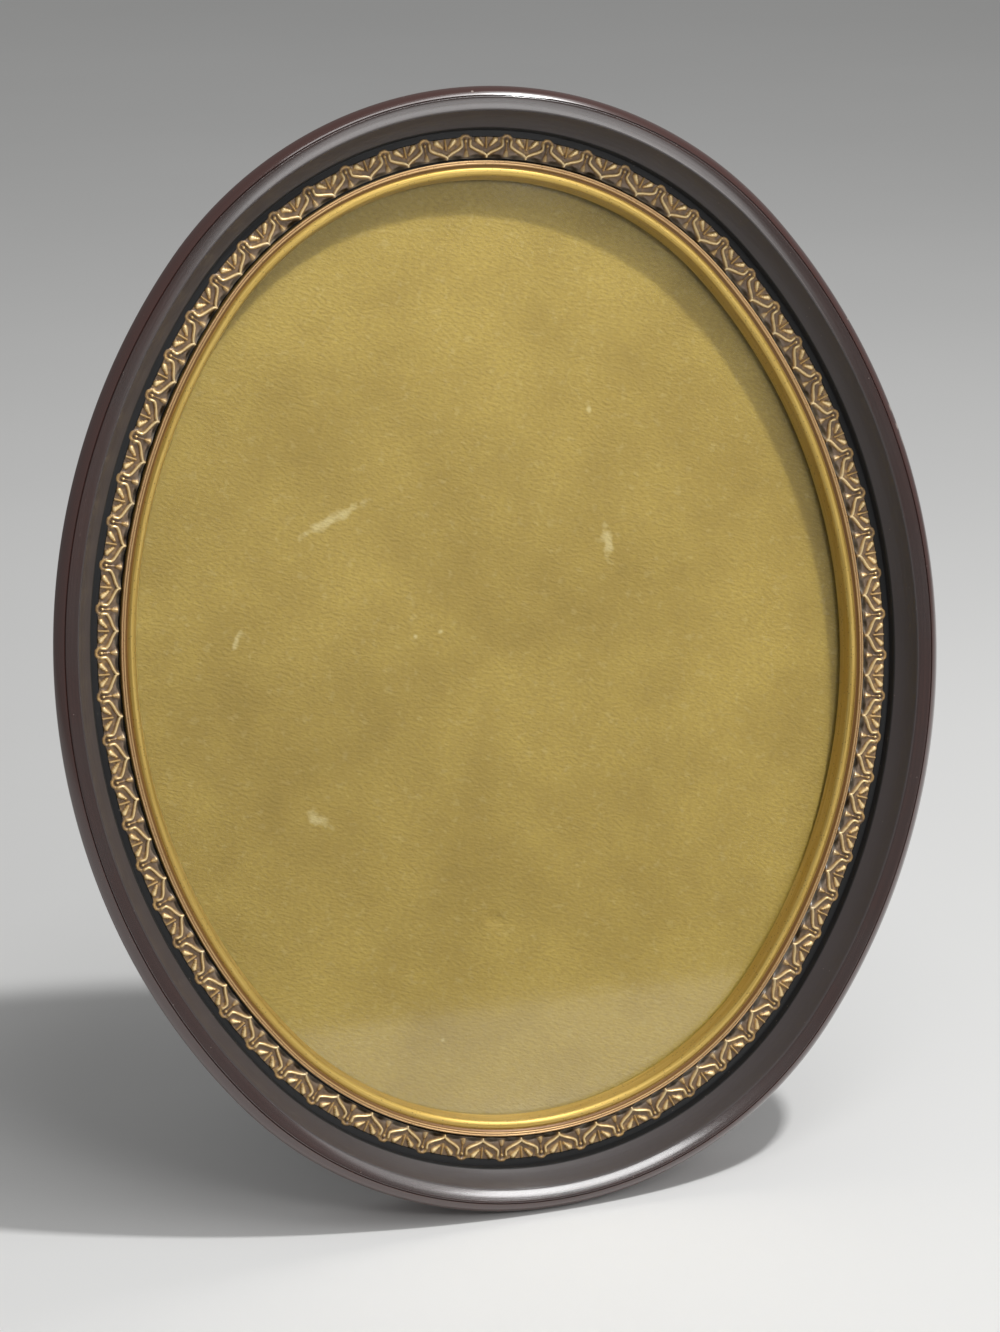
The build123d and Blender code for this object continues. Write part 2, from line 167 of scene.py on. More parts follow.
# Finishes: the run of grain and nap, how far each surface stands up, where tones change, and where painted
# light lifts the card towards its top and bottom
grain_turn = radians(-22)
grain_stretch = (2, 1, 1)
grain_bump = 0.09 * mm
nap_stretch = (1, 1, 0.35)
nap_bump = 0.2 * mm
gilt_bump = 0.08 * mm
lacquer_bump = 0.06 * mm
metal_bump = 0.05 * mm
grey_start_share = 0.65
# Painted light on the card: the shares of its half height where its lift towards top and bottom starts and
# ends
card_painted_light_shares = (0.3, 0.9)

# Fittings on the back
plate_ease = 0.2 * mm
strut_ease = 0.6 * mm
hanger_screw_inset = 8.0 * mm
hanger_thickness = 0.7 * mm
button_stack = 1.2 * mm
screw_head_radius = 3.0 * mm
screw_head_height = 1.6 * mm
screw_rim_share = 0.4
screw_slot_width = 0.7 * mm
screw_slot_depth = 0.6 * mm
rivet_head_radius = 2.0 * mm
rivet_head_height = 0.9 * mm
rivet_rim_share = 0.15
hinge_leaf_thickness = 0.8 * mm
panel_rivet_spacing = 19.0 * mm
panel_rivet_rise = 12.5 * mm
strut_rivet_spacing = 14.0 * mm
strut_rivet_fall = 14.0 * mm
strut_rear = 1.3 * mm

# Steps that the curves are divided in
run_steps = 320
bow_steps = 14
round_steps = 4
leaf_rows = 26
leaf_inner_count = 12
leaf_outer_count = 5
leaf_line_points = 28
arch_points = 8
plate_steps = 300
plate_rings = 110
back_ring_step = 4
head_steps = 40
dome_steps = 7

# Angles between faces that still count as flat, that get an eased edge, and that stay sharp
flat_angle = radians(0.5)
edge_angle = radians(35)
smooth_angle = radians(38)

# Gaps between points that are closed up
merge_distance = 0.001 * mm
seam_gap = 0.01 * mm

# Studio, in metres
floor_reach = 4.0
sky_strength = 0.27

# Lamps: each one's place from the middle of the frame, its width and height, and its watts
lamps = {
    "overhead": ((0.2, -0.4, 1.15), (0.9, 0.3), 2.4),
    "key": ((0.49, -0.34, 1.15), (0.07, 0.07), 9.6),
    "front_right": ((0.6, -0.84, 0.68), (0.7, 0.6), 1.8),
    "front_high": ((0.31, -1.03, 0.55), (0.36, 0.18), 1.7),
}

# Lit sheets near the table, which only glossy surfaces mirror: place, aim, width and height, and watts
mirrored_sheets = {
    "glass_card": ((0.18, -0.62, 0.03), (0.18, 0, 0.03), (0.5, 0.06), 0.1),
    "table_card": ((0.15, -0.95, 0.005), (0.15, -0.95, 1), (0.8, 0.9), 2.3),
}

# The photograph's view, from the frame's own axes
image_width = 1000
focal_pixels = 3600
view_turn = radians(16.93)
view_tilt = radians(6.17)
view_roll = radians(4.29)
view_rise = 3.5 * mm
view_side = -0.3 * mm
view_distance = 950.5 * mm

# The frame's own axes: X across it, Y up its face, Z out of its front, from the middle of the glass
nodes = frame["nodes"]
joints = {joint["name"]: joint for joint in frame["joints"]}
front = Vector(joints["turn_button_upper_right_swivel"]["axis"])
lean = atan2(front.z, -front.y)
turned_up = Matrix.Rotation(pi / 2 - lean, 4, "X")


def corners_of(node, axes):
    """Vertices of a CAD node measured along the given axes."""
    points = [axes.inverted() @ vertex.co for vertex in nodes[node].data.vertices]
    return np.array(points)


pane = corners_of("glass_pane", turned_up)
pane_low, pane_high = pane.min(axis=0), pane.max(axis=0)
pane_middle = Vector(((pane_low[0] + pane_high[0]) / 2, (pane_low[1] + pane_high[1]) / 2, pane_high[2]))
stand = turned_up @ Matrix.Translation(pane_middle)

# Four-centred oval of the outer edge
half_width, half_height = np.abs(corners_of("moulding", stand)).max(axis=0)[:2]
oval_diagonal = hypot(half_width, half_height)
oval_excess = half_height - half_width
end_radius = oval_diagonal * (oval_diagonal - oval_excess) / (2 * half_height)
side_radius = oval_diagonal * (oval_diagonal + oval_excess) / (2 * half_width)
end_centre = half_height - end_radius
side_centre = side_radius - half_width
side_angle = atan2(end_centre, side_centre)
end_angle = pi / 2 - side_angle
even_inset = ornament_inset
even_run = 4 * ((side_radius - even_inset) * side_angle + (end_radius - even_inset) * end_angle)


def oval_point(share, inset):
    """A point of a parallel oval at a share of the way round it from the right side."""
    quarter = int(share * 4) % 4
    part = share * 4 % 1
    run = (1 - part if quarter % 2 else part) * even_run / 4
    side_run = (side_radius - even_inset) * side_angle
    if run > side_run:
        angle = side_angle + (run - side_run) / (end_radius - even_inset)
        reach = end_radius - inset
        point = Vector((reach * cos(angle), end_centre + reach * sin(angle)))
    else:
        angle = run / (side_radius - even_inset)
        reach = side_radius - inset
        point = Vector((reach * cos(angle) - side_centre, reach * sin(angle)))
    if quarter in (1, 2):
        point.x = -point.x
    if quarter in (2, 3):
        point.y = -point.y
    return point


# Places of the rim's chips on its run and across its section
rim_across = hypot(side_taper, rebate_depth + rim_foot_height) + rim_width / 2
rim_chips = [
    (((side_radius - even_inset) * asin(rise / side_radius), rim_across), (length, width), 0)
    for rise, length, width in chip_sizes
]


# Node trees
def add_node(tree, kind, *feeds, **settings):
    """Add a node, set its properties, and feed its inputs in order from sockets or plain values."""
    node = tree.nodes.new(kind)
    for name, value in settings.items():
        setattr(node, name, value)
    for socket, feed in zip(node.inputs, feeds):
        join(tree, feed, socket)
    return node


def join(tree, feed, socket):
    """Link a socket to an input, or set the input to a plain value. None leaves it as it is."""
    if isinstance(feed, bpy.types.NodeSocket):
        tree.links.new(feed, socket)
    elif feed is not None:
        socket.default_value = feed


def sums(tree, operation, *feeds):
    """The result of one Math node."""
    return add_node(tree, "ShaderNodeMath", *feeds, operation=operation).outputs[0]


def new_tree(name, kind, inputs, outputs):
    """A node group with named inputs and outputs, given as {name: (socket type, default)}."""
    tree = bpy.data.node_groups.new(name, kind)
    for label, (socket_type, default) in inputs.items():
        socket = tree.interface.new_socket(label, in_out="INPUT", socket_type=socket_type)
        if default is not None:
            socket.default_value = default
    for label, socket_type in outputs.items():
        tree.interface.new_socket(label, in_out="OUTPUT", socket_type=socket_type)
    return tree, tree.nodes.new("NodeGroupInput").outputs, tree.nodes.new("NodeGroupOutput").inputs


geometry_in = {"Geometry": ("NodeSocketGeometry", None)}
geometry_out = {"Geometry": "NodeSocketGeometry"}
oval_sizes = {
    "Side Radius": side_radius,
    "End Radius": end_radius,
    "Side Centre": side_centre,
    "End Centre": end_centre,
    "Side Angle": side_angle,
    "Even Inset": even_inset,
}
oval_inputs = {label: ("NodeSocketFloat", float(size)) for label, size in oval_sizes.items()}


def bend_round_oval():
    """Tree that takes X as a share of the run, Y as an inset and Z as a height, and bends it round."""
    inputs = geometry_in | oval_inputs
    tree, given, result = new_tree("bend_round_oval", "GeometryNodeTree", inputs, geometry_out)
    position = tree.nodes.new("GeometryNodeInputPosition").outputs[0]
    place = add_node(tree, "ShaderNodeSeparateXYZ", position).outputs
    quarters = sums(tree, "MULTIPLY", place[0], 4)
    quarter = sums(tree, "FLOOR", quarters)
    part = sums(tree, "SUBTRACT", quarters, quarter)
    backward = sums(tree, "MODULO", quarter, 2)
    part = sums(tree, "ABSOLUTE", sums(tree, "SUBTRACT", part, backward))
    side_even = sums(tree, "SUBTRACT", given["Side Radius"], given["Even Inset"])
    end_even = sums(tree, "SUBTRACT", given["End Radius"], given["Even Inset"])
    side_run = sums(tree, "MULTIPLY", side_even, given["Side Angle"])
    end_run = sums(tree, "MULTIPLY", end_even, sums(tree, "SUBTRACT", pi / 2, given["Side Angle"]))
    run = sums(tree, "MULTIPLY", part, sums(tree, "ADD", side_run, end_run))
    past_side = sums(tree, "SUBTRACT", run, side_run)
    on_end = sums(tree, "GREATER_THAN", past_side, 0)
    on_side = sums(tree, "SUBTRACT", 1, on_end)
    side_turn = sums(tree, "DIVIDE", run, side_even)
    end_turn = sums(tree, "ADD", given["Side Angle"], sums(tree, "DIVIDE", past_side, end_even))

    def side_or_end(of_side, of_end):
        """The value of the arc that a point is on."""
        parts = (sums(tree, "MULTIPLY", of_side, on_side), sums(tree, "MULTIPLY", of_end, on_end))
        return sums(tree, "ADD", *parts)

    angle = side_or_end(side_turn, end_turn)
    reach = side_or_end(given["Side Radius"], given["End Radius"])
    reach = sums(tree, "SUBTRACT", reach, place[1])
    across = sums(tree, "MULTIPLY", reach, sums(tree, "COSINE", angle))
    across = sums(tree, "SUBTRACT", across, sums(tree, "MULTIPLY", given["Side Centre"], on_side))
    up = sums(tree, "MULTIPLY", reach, sums(tree, "SINE", angle))
    up = sums(tree, "ADD", up, sums(tree, "MULTIPLY", given["End Centre"], on_end))
    from_left = sums(tree, "ABSOLUTE", sums(tree, "SUBTRACT", quarter, 1.5))
    across_sign = sums(tree, "SIGN", sums(tree, "SUBTRACT", from_left, 1))
    up_sign = sums(tree, "SIGN", sums(tree, "SUBTRACT", 1.5, quarter))
    bent = add_node(
        tree,
        "ShaderNodeCombineXYZ",
        sums(tree, "MULTIPLY", across, across_sign),
        sums(tree, "MULTIPLY", up, up_sign),
        place[2],
    )
    moved = add_node(tree, "GeometryNodeSetPosition", given["Geometry"], None, bent.outputs[0])
    join(tree, moved.outputs[0], result["Geometry"])
    return tree


bend_tree = bend_round_oval()


def add_bend(tree, given, geometry):
    """Bend geometry round the oval inside another tree, with that tree's own oval sizes."""
    bend = add_node(tree, "GeometryNodeGroup", node_tree=bend_tree)
    join(tree, geometry, bend.inputs["Geometry"])
    for label in oval_sizes:
        join(tree, given[label], bend.inputs[label])
    return bend.outputs[0]


finish_inputs = {
    "Seam": ("NodeSocketFloat", seam_gap),
    "Material": ("NodeSocketMaterial", None),
}


def end_tree(tree, given, geometry, result):
    """Close the seams, make everything real and give it its material."""
    welded = add_node(tree, "GeometryNodeMergeByDistance")
    join(tree, geometry, welded.inputs["Geometry"])
    join(tree, given["Seam"], welded.inputs["Distance"])
    real = add_node(tree, "GeometryNodeRealizeInstances", welded.outputs[0])
    painted = add_node(tree, "GeometryNodeSetMaterial", real.outputs[0])
    join(tree, given["Material"], painted.inputs["Material"])
    join(tree, painted.outputs[0], result["Geometry"])


def swept_section():
    """Tree for a section drawn out straight: it is bent round the oval."""
    inputs = geometry_in | oval_inputs | finish_inputs
    tree, given, result = new_tree("swept_section", "GeometryNodeTree", inputs, geometry_out)
    end_tree(tree, given, add_bend(tree, given, given["Geometry"]), result)
    return tree


def leaf_border():
    """Tree that repeats one leaf along a straight run and bends the run round the oval."""
    leaf_inputs = {"Leaves": ("NodeSocketInt", leaf_count)}
    inputs = geometry_in | leaf_inputs | oval_inputs | finish_inputs
    tree, given, result = new_tree("leaf_border", "GeometryNodeTree", inputs, geometry_out)
    pitch = sums(tree, "DIVIDE", 1, given["Leaves"])
    step = add_node(tree, "ShaderNodeCombineXYZ", pitch).outputs[0]
    start = add_node(tree, "ShaderNodeCombineXYZ", sums(tree, "DIVIDE", pitch, 2)).outputs[0]
    run = add_node(tree, "GeometryNodeMeshLine", mode="OFFSET")
    join(tree, given["Leaves"], run.inputs["Count"])
    join(tree, start, run.inputs["Start Location"])
    join(tree, step, run.inputs["Offset"])
    leaves = add_node(tree, "GeometryNodeInstanceOnPoints", run.outputs[0])
    join(tree, given["Geometry"], leaves.inputs["Instance"])
    border = add_node(tree, "GeometryNodeRealizeInstances", leaves.outputs[0]).outputs[0]
    end_tree(tree, given, add_bend(tree, given, border), result)
    return tree


def set_heads():
    """Tree that sets one fastener head on each point, each turned by chance about its own axis."""
    head_inputs = {"Head": ("NodeSocketObject", None), "Seed": ("NodeSocketInt", 5)}
    inputs = geometry_in | head_inputs | finish_inputs
    tree, given, result = new_tree("set_heads", "GeometryNodeTree", inputs, geometry_out)
    head = add_node(tree, "GeometryNodeObjectInfo")
    join(tree, given["Head"], head.inputs["Object"])
    chance = add_node(tree, "FunctionNodeRandomValue", data_type="FLOAT")
    chance_sockets = {socket.name: socket for socket in chance.inputs if socket.enabled}
    join(tree, pi, chance_sockets["Max"])
    join(tree, given["Seed"], chance_sockets["Seed"])
    turn = next(socket for socket in chance.outputs if socket.enabled)
    heads = add_node(tree, "GeometryNodeInstanceOnPoints", given["Geometry"])
    join(tree, head.outputs["Geometry"], heads.inputs["Instance"])
    join(tree, add_node(tree, "ShaderNodeCombineXYZ", 0, 0, turn).outputs[0], heads.inputs["Rotation"])
    real = add_node(tree, "GeometryNodeRealizeInstances", heads.outputs[0]).outputs[0]
    end_tree(tree, given, real, result)
    return tree


swept_tree = swept_section()
border_tree = leaf_border()
heads_tree = set_heads()


# Finishes
def blend(tree, factor, first, second):
    """A colour between two, by a factor from 0 to 1."""
    mix = add_node(tree, "ShaderNodeMix", data_type="RGBA")
    join(tree, factor, mix.inputs[0])
    for colour, socket in ((first, mix.inputs[6]), (second, mix.inputs[7])):
        join(tree, (*colour, 1) if isinstance(colour, tuple) else colour, socket)
    return mix.outputs[2]


def lay_over(tree, mask, strength, under, over):
    """A colour laid over another where a mask is, at a share of its full strength."""
    return blend(tree, sums(tree, "MULTIPLY", mask, strength), under, over)


def spread(tree, value, low, high, to_low=0, to_high=1):
    """A value moved from one range to another, and kept inside it."""
    return add_node(tree, "ShaderNodeMapRange", value, low, high, to_low, to_high).outputs[0]


vector_in = {"Vector": ("NodeSocketVector", None)}
factor_out = {"Factor": "NodeSocketFloat"}


def mottle_group():
    """Cloudy patches of 0 and 1 at a given scale, with the change between them from Low to High."""
    sizes = {
        "Scale": ("NodeSocketFloat", 100),
        "Detail": ("NodeSocketFloat", 4),
        "Low": ("NodeSocketFloat", 0.35),
        "High": ("NodeSocketFloat", 0.65),
    }
    tree, given, result = new_tree("mottle", "ShaderNodeTree", vector_in | sizes, factor_out)
    cloud = add_node(tree, "ShaderNodeTexNoise")
    join(tree, given["Vector"], cloud.inputs["Vector"])
    join(tree, given["Scale"], cloud.inputs["Scale"])
    join(tree, given["Detail"], cloud.inputs["Detail"])
    join(tree, spread(tree, cloud.outputs[0], given["Low"], given["High"]), result["Factor"])
    return tree


def specks_group():
    """Small round specks: 1 inside each, 0 between them. Amount is the share of cells that hold one."""
    sizes = {
        "Scale": ("NodeSocketFloat", 300),
        "Size": ("NodeSocketFloat", 0.25),
        "Amount": ("NodeSocketFloat", 0.3),
    }
    tree, given, result = new_tree("specks", "ShaderNodeTree", vector_in | sizes, factor_out)
    cells = add_node(tree, "ShaderNodeTexVoronoi")
    join(tree, given["Vector"], cells.inputs["Vector"])
    join(tree, given["Scale"], cells.inputs["Scale"])
    chance = add_node(tree, "ShaderNodeSeparateColor", cells.outputs["Color"]).outputs[0]
    holds = sums(tree, "LESS_THAN", chance, given["Amount"])
    reach = sums(tree, "MULTIPLY", given["Size"], holds)
    inside = sums(tree, "SUBTRACT", reach, cells.outputs["Distance"])
    soft_edge = 0.06
    join(tree, spread(tree, inside, 0, soft_edge), result["Factor"])
    return tree


def streaks_group():
    """Fine lines drawn out along the run of a moulding."""
    sizes = {
        "Along": ("NodeSocketFloat", 12),
        "Across": ("NodeSocketFloat", 900),
        "Low": ("NodeSocketFloat", 0.35),
        "High": ("NodeSocketFloat", 0.65),
    }
    tree, given, result = new_tree("streaks", "ShaderNodeTree", vector_in | sizes, factor_out)
    scale = add_node(tree, "ShaderNodeCombineXYZ", given["Along"], given["Across"], 1).outputs[0]
    drawn = add_node(tree, "ShaderNodeVectorMath", given["Vector"], scale, operation="MULTIPLY")
    lines = add_node(tree, "ShaderNodeTexNoise")
    join(tree, drawn.outputs[0], lines.inputs["Vector"])
    lines.inputs["Scale"].default_value = 1
    lines.inputs["Detail"].default_value = 3
    join(tree, spread(tree, lines.outputs[0], given["Low"], given["High"]), result["Factor"])
    return tree


mottle_tree = mottle_group()
specks_tree = specks_group()
streaks_tree = streaks_group()


def effect(tree, group, vector, **values):
    """Place one of the shared effects in a material with its own values."""
    node = add_node(tree, "ShaderNodeGroup", node_tree=group)
    join(tree, vector, node.inputs["Vector"])
    for label, value in values.items():
        join(tree, value, node.inputs[label])
    return node.outputs[0]


def new_finish(name, **values):
    """A material with the values that are the same all over it, its shader's inputs and its coordinates."""
    material = bpy.data.materials.new(name)
    material.use_nodes = True
    tree = material.node_tree
    shader = tree.nodes["Principled BSDF"]
    for label, value in values.items():
        shader.inputs[label.replace("_", " ")].default_value = value
    return material, tree, shader.inputs, tree.nodes.new("ShaderNodeTexCoord").outputs["Object"]


def run_map(tree):
    """UV of a swept piece: metres along its run and metres across its section."""
    return add_node(tree, "ShaderNodeUVMap", uv_map="run").outputs[0]


def tone_of(tree):
    """The tone that a piece carries on its points."""
    return add_node(tree, "ShaderNodeAttribute", attribute_name="tone").outputs["Fac"]


def raise_by(tree, inputs, height, distance, strength):
    """Bump the surface by a height from 0 to 1."""
    bump = add_node(tree, "ShaderNodeBump")
    bump.inputs["Strength"].default_value = strength
    bump.inputs["Distance"].default_value = distance
    join(tree, height, bump.inputs["Height"])
    join(tree, bump.outputs[0], inputs["Normal"])


def mark(tree, vector, middle, size, turned):
    """A soft spot of a given half length and half width: 1 at its middle, 0 outside it."""
    placed = add_node(tree, "ShaderNodeMapping", vector, vector_type="TEXTURE")
    placed.inputs["Location"].default_value = (*middle, 0)
    placed.inputs["Rotation"].default_value = (0, 0, turned)
    placed.inputs["Scale"].default_value = (*size, 1)
    spot = add_node(tree, "ShaderNodeTexGradient", placed.outputs[0], gradient_type="SPHERICAL")
    return spot.outputs[1]


def marks(tree, vector, places):
    """All the spots of a list of (middle, size, turn) together."""
    spots = 0
    for place in places:
        spots = sums(tree, "MAXIMUM", spots, mark(tree, vector, *place))
    return spots


def mahogany_finish():
    """Oxblood lacquer, redder on the rim, slate in the cove, black in the channel, nicked along the rim."""
    material, tree, inputs, place = new_finish("mahogany_lacquer", Coat_Roughness=0.12, Coat_IOR=1.8)
    run = run_map(tree)
    streak = effect(tree, streaks_tree, run, Along=14.0, Across=1400.0)
    cloud = effect(tree, mottle_tree, place, Scale=38.0)
    tone = tone_of(tree)
    on_rim = spread(tree, tone, land_tone, rim_tone)
    red = blend(tree, streak, (0.027, 0.0075, 0.0050), (0.043, 0.0130, 0.0090))
    brown = blend(tree, cloud, red, (0.027, 0.0105, 0.0080))
    oxblood = blend(tree, on_rim, brown, (0.050, 0.0125, 0.0080))
    slate = blend(tree, spread(tree, tone, land_tone, cove_tone), oxblood, (0.055, 0.0445, 0.0440))
    black = blend(tree, spread(tree, tone, cove_tone, channel_tone), slate, (0.0015, 0.0015, 0.0020))
    specks = effect(tree, specks_tree, place, Scale=330.0, Size=0.14, Amount=0.05)
    nicks = sums(tree, "MULTIPLY", on_rim, specks)
    chips = spread(tree, marks(tree, run, rim_chips), 0.1, 0.5)
    dust = effect(tree, specks_tree, place, Scale=900.0, Size=0.16, Amount=0.03)
    pale = sums(tree, "MAXIMUM", sums(tree, "MAXIMUM", nicks, chips), sums(tree, "MULTIPLY", dust, 0.35))
    join(tree, lay_over(tree, pale, 0.8, black, (0.40, 0.33, 0.29)), inputs["Base Color"])
    satin = spread(tree, sums(tree, "ADD", streak, cloud), 0, 2, 0.16, 0.3)
    rough = spread(tree, tone, land_tone, channel_tone, 0, 0.5)
    join(tree, sums(tree, "ADD", satin, sums(tree, "MAXIMUM", rough, pale)), inputs["Roughness"])
    join(tree, spread(tree, tone, land_tone, cove_tone, 0.95, 0.08), inputs["Coat Weight"])
    raise_by(tree, inputs, sums(tree, "SUBTRACT", streak, pale), lacquer_bump, strength=0.25)
    return material


def antique_gilt_finish():
    """Cast border: brown recesses with painted shade that turns the scallops near black, bronze flanks,
    pale gold rubbed bare on the high points, grey in places.
    """
    material, tree, inputs, place = new_finish("antique_gilt")
    tone = tone_of(tree)
    cloud = effect(tree, mottle_tree, place, Scale=260.0)
    grime = effect(tree, mottle_tree, place, Scale=900.0, Low=0.3, High=0.7)
    fine_rubs = spread(tree, grime, 0, 1, -0.14, 0.14)
    broad_rubs = spread(tree, cloud, 0, 1, -0.12, 0.08)
    # This tone follows the relief and the rubbing; below the ground, in the scallops, it carries painted
    # shade.
    wear_and_shade_tone = sums(tree, "ADD", tone, sums(tree, "ADD", fine_rubs, broad_rubs))
    # Brown toning on the ground, and painted shade that falls to near black in the scallops.
    toned_and_shaded_recess = blend(tree, spread(tree, wear_and_shade_tone, -0.5, 0.05), (0.022, 0.014, 0.008), (0.180, 0.113, 0.062))
    flank = blend(tree, spread(tree, wear_and_shade_tone, 0.12, 0.5), toned_and_shaded_recess, (0.56, 0.345, 0.124))
    gold = blend(tree, spread(tree, wear_and_shade_tone, 0.45, 0.95), flank, (0.98, 0.745, 0.385))
    across = add_node(tree, "ShaderNodeSeparateXYZ", run_map(tree)).outputs[1]
    inner = spread(tree, across, grey_start_share * ornament_width, ornament_width)
    grey = sums(tree, "MULTIPLY", inner, cloud)
    join(tree, lay_over(tree, grey, 0.6, gold, (0.36, 0.33, 0.29)), inputs["Base Color"])
    join(tree, spread(tree, wear_and_shade_tone, 0.1, 0.9, 0.05, 0.4), inputs["Metallic"])
    join(tree, spread(tree, grime, 0, 1, 0.28, 0.46), inputs["Roughness"])
    raise_by(tree, inputs, grime, gilt_bump, strength=0.3)
    return material


def liner_gilt_finish():
    """Satin gold with fine pits, a brown valley and a rosier bead."""
    material, tree, inputs, place = new_finish("liner_gilt", Coat_Weight=0.25, Coat_Roughness=0.3)
    run = run_map(tree)
    streak = effect(tree, streaks_tree, run, Along=40.0, Across=2500.0)
    pits = effect(tree, specks_tree, place, Scale=1500.0, Size=0.3, Amount=0.3)
    across = add_node(tree, "ShaderNodeSeparateXYZ", run).outputs[1]
    on_bead = sums(tree, "LESS_THAN", across, 2 * pi * liner_bead_radius)
    gold = blend(tree, streak, (0.53, 0.340, 0.070), (0.64, 0.450, 0.125))
    rosy = blend(tree, on_bead, gold, (0.60, 0.39, 0.19))
    brown = blend(tree, tone_of(tree), rosy, (0.20, 0.095, 0.024))
    join(tree, lay_over(tree, pits, 0.5, brown, (0.12, 0.07, 0.02)), inputs["Base Color"])
    join(tree, spread(tree, tone_of(tree), 0, 1, 0.75, 0.3), inputs["Metallic"])
    join(tree, spread(tree, streak, 0, 1, 0.36, 0.48), inputs["Roughness"])
    raise_by(tree, inputs, sums(tree, "SUBTRACT", streak, pits), lacquer_bump, strength=0.3)
    return material


def leatherette_finish():
    """Olive-gold satin card with a fine wavy grain, cloudy changes of tone, painted light that lightens it
    towards its top and bottom, and a few rubbed marks.
    """
    material, tree, inputs = new_finish("gold_leatherette")[:3]
    face = add_node(tree, "ShaderNodeUVMap", uv_map="face").outputs[0]
    wavy = add_node(tree, "ShaderNodeMapping", face, vector_type="TEXTURE")
    wavy.inputs["Rotation"].default_value = (0, 0, grain_turn)
    wavy.inputs["Scale"].default_value = grain_stretch
    up = add_node(tree, "ShaderNodeSeparateXYZ", face).outputs[1]
    # Painted light: the card's colour grows lighter towards its top and bottom.
    start, end = (share * half_height for share in card_painted_light_shares)
    ends = spread(tree, sums(tree, "ABSOLUTE", up), start, end, 0, 0.6)
    cloud = effect(tree, mottle_tree, face, Scale=22.0, Low=0.3, High=0.7)
    patch = effect(tree, mottle_tree, face, Scale=75.0, Low=0.3, High=0.7)
    grain = effect(tree, mottle_tree, wavy.outputs[0], Scale=1400.0, Low=0.3, High=0.7)
    light = sums(tree, "ADD", sums(tree, "MULTIPLY", cloud, 0.75), sums(tree, "MULTIPLY", patch, 0.4))
    gold = blend(tree, sums(tree, "ADD", light, ends), (0.310, 0.208, 0.022), (0.505, 0.364, 0.062))
    shaded = lay_over(tree, grain, 0.5, gold, (0.255, 0.167, 0.017))
    specks = effect(tree, specks_tree, face, Scale=85.0, Size=0.07, Amount=0.05)
    ragged = effect(tree, mottle_tree, face, Scale=380.0, Low=0.35, High=0.65)
    scuffs = sums(tree, "ADD", marks(tree, face, card_scuffs), spread(tree, ragged, 0, 1, -0.5, 0.1))
    rubbed = spread(tree, scuffs, 0, 0.5)
    pale = sums(tree, "MAXIMUM", specks, rubbed)
    join(tree, lay_over(tree, pale, 0.6, shaded, (0.72, 0.60, 0.28)), inputs["Base Color"])
    join(tree, spread(tree, cloud, 0, 1, 0.58, 0.46), inputs["Roughness"])
    raise_by(tree, inputs, grain, grain_bump, strength=1.0)
    return material


def clear_glass_finish():
    """Flat glass that lets the lamps through to the card."""
    material, tree = new_finish("clear_glass", Roughness=0.06, IOR=1.45, Transmission_Weight=1.0)[:2]
    to_lamp = tree.nodes.new("ShaderNodeLightPath").outputs["Is Shadow Ray"]
    through = tree.nodes.new("ShaderNodeBsdfTransparent").outputs[0]
    glass = tree.nodes["Principled BSDF"].outputs[0]
    lit = add_node(tree, "ShaderNodeMixShader", to_lamp, glass, through).outputs[0]
    join(tree, lit, tree.nodes["Material Output"].inputs["Surface"])
    return material


def velour_finish():
    """Flocked black covering with a soft nap, brushed up and down into lighter and darker patches."""
    material, tree, inputs, place = new_finish(
        "black_velour", Roughness=0.95, Sheen_Weight=0.4, Sheen_Roughness=0.4
    )
    strokes = add_node(tree, "ShaderNodeMapping", place)
    strokes.inputs["Scale"].default_value = nap_stretch
    nap = effect(tree, mottle_tree, place, Scale=1500.0, Low=0.3, High=0.7)
    brushed = effect(tree, mottle_tree, strokes.outputs[0], Scale=45.0, Detail=6.0)
    tufts = effect(tree, mottle_tree, strokes.outputs[0], Scale=420.0, Low=0.3, High=0.7)
    pile = blend(tree, nap, (0.007, 0.007, 0.008), (0.024, 0.023, 0.024))
    raised = sums(tree, "ADD", brushed, tufts)
    join(tree, lay_over(tree, raised, 0.4, pile, (0.044, 0.042, 0.042)), inputs["Base Color"])
    raise_by(tree, inputs, sums(tree, "ADD", nap, tufts), nap_bump, strength=0.6)
    return material


def metal_finish(name, bright, dull, polish, tarnish_scale):
    """Stamped metal with dull patches of a given scale. Polish is the roughness of its brightest places."""
    material, tree, inputs, place = new_finish(name, Metallic=1.0)
    tarnish = effect(tree, mottle_tree, place, Scale=tarnish_scale)
    rub = effect(tree, mottle_tree, place, Scale=tarnish_scale * 7, Low=0.2, High=0.8)
    join(tree, blend(tree, tarnish, bright, dull), inputs["Base Color"])
    dullness = sums(tree, "ADD", tarnish, rub)
    join(tree, spread(tree, dullness, 0, 2, polish, polish + 0.22), inputs["Roughness"])
    raise_by(tree, inputs, rub, metal_bump, strength=0.12)
    return material


def board_finish():
    """Grey pulp board."""
    material, tree, inputs, place = new_finish("grey_board", Roughness=0.9)
    fibres = effect(tree, mottle_tree, place, Scale=500.0)
    join(tree, blend(tree, fibres, (0.30, 0.28, 0.25), (0.38, 0.36, 0.32)), inputs["Base Color"])
    return material


def floor_finish():
    """Plain pale table top."""
    material, tree, inputs, place = new_finish("pale_floor", Roughness=1.0, Specular_IOR_Level=0.0)
    cloud = effect(tree, mottle_tree, place, Scale=3.0)
    join(tree, blend(tree, cloud, (0.79, 0.79, 0.78), (0.81, 0.81, 0.80)), inputs["Base Color"])
    return material


